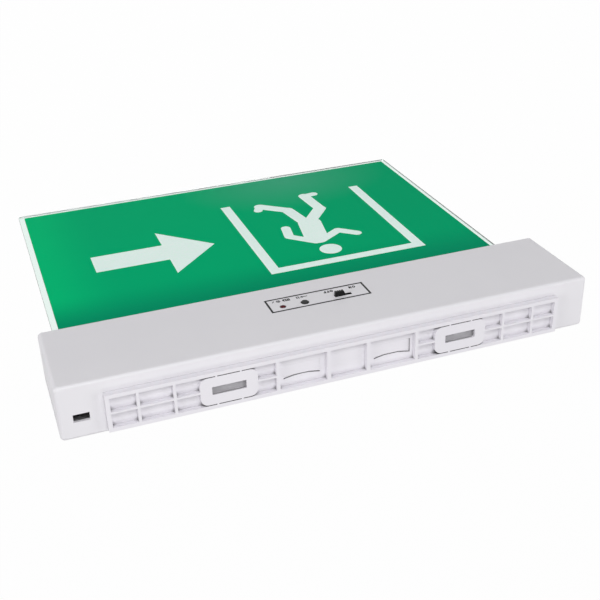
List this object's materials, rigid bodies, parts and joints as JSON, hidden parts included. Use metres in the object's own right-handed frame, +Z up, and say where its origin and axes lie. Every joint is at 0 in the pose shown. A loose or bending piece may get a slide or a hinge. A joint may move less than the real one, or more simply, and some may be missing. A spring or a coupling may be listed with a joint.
{
  "type": "ceiling exit light",
  "caption": "Ceiling-mounted emergency exit light: white housing on a ribbed snap-in ceiling bracket, with a clear edge-lit sign plate hanging below, test button and power switch.",
  "frame": {"origin": "on the ceiling plane that the bracket's rim bears on, above the middle of the housing's plan", "axes": "+Z up into the ceiling, X along the housing, -Y out of the front with the controls"},
  "size_m": [0.355, 0.0403, 0.3095],
  "materials": {
    "housing_plastic": "fine satin moulded white ABS",
    "bracket_plastic": "fine satin moulded white ABS",
    "cover_plastic": "fine satin moulded white ABS",
    "holder_plastic": "white ABS, satin",
    "acrylic": "clear polished acrylic",
    "legend_print": "translucent green printed film",
    "screw_steel": "zinc plated",
    "board_laminate": "green solder mask over glass laminate",
    "led_board_laminate": "white mask over aluminium core",
    "led_package": "white package with yellow phosphor",
    "lamp_lens": "dark red epoxy",
    "button_plastic": "black ABS",
    "knob_plastic": "black acetal",
    "switch_body": "black moulded base",
    "switch_can": "tinned pressed steel",
    "battery_sleeve": "blue shrunk sleeve",
    "clip_plastic": "natural acetal",
    "ferrite": "sintered ferrite and yellow tape",
    "capacitor_can": "sleeved aluminium can",
    "film_capacitor": "yellow case",
    "fuse_glass": "glass tube in a clear holder",
    "terminal_plastic": "blue polyamide",
    "lead_insulation": "PVC insulation"
  },
  "bodies": {
    "root": {"battery_clip_left": "clip_plastic", "battery_clip_right": "clip_plastic", "battery_lead": "lead_insulation", "battery_pack": "battery_sleeve", "bottom_cover": "cover_plastic", "choke": "ferrite", "control_board": "board_laminate", "control_lead": "lead_insulation", "control_screws": "screw_steel", "cover_screws": "screw_steel", "driver_board": "board_laminate", "driver_screws": "screw_steel", "front_legend": "legend_print", "fuse": "fuse_glass", "holder_screws": "screw_steel", "housing": "housing_plastic", "lamp_lead": "lead_insulation", "led_board": "led_board_laminate", "leds": "led_package", "mounting_bracket": "bracket_plastic", "plate_holder": "holder_plastic", "plate_screws": "screw_steel", "power_lamp": "lamp_lens", "power_switch": "switch_can", "rear_legend": "legend_print", "sign_plate": "acrylic", "storage_capacitors": "capacitor_can", "suppression_capacitor": "film_capacitor", "terminal_block": "terminal_plastic", "terminal_screws": "screw_steel", "test_switch": "switch_body", "transformer": "ferrite"},
    "test_button": {"test_button": "button_plastic"},
    "switch_knob": {"switch_knob": "knob_plastic"}
  },
  "joints": [
    {"name": "test_button_press", "type": "slide", "parent": "root", "child": "test_button", "axis": [0, 1, 0], "range_m": [0, 0.0008], "stiffness_N_per_m": 300},
    {"name": "power_switch_slide", "type": "slide", "parent": "root", "child": "switch_knob", "axis": [-1, 0, 0], "range_m": [0, 0.004]}
  ]
}
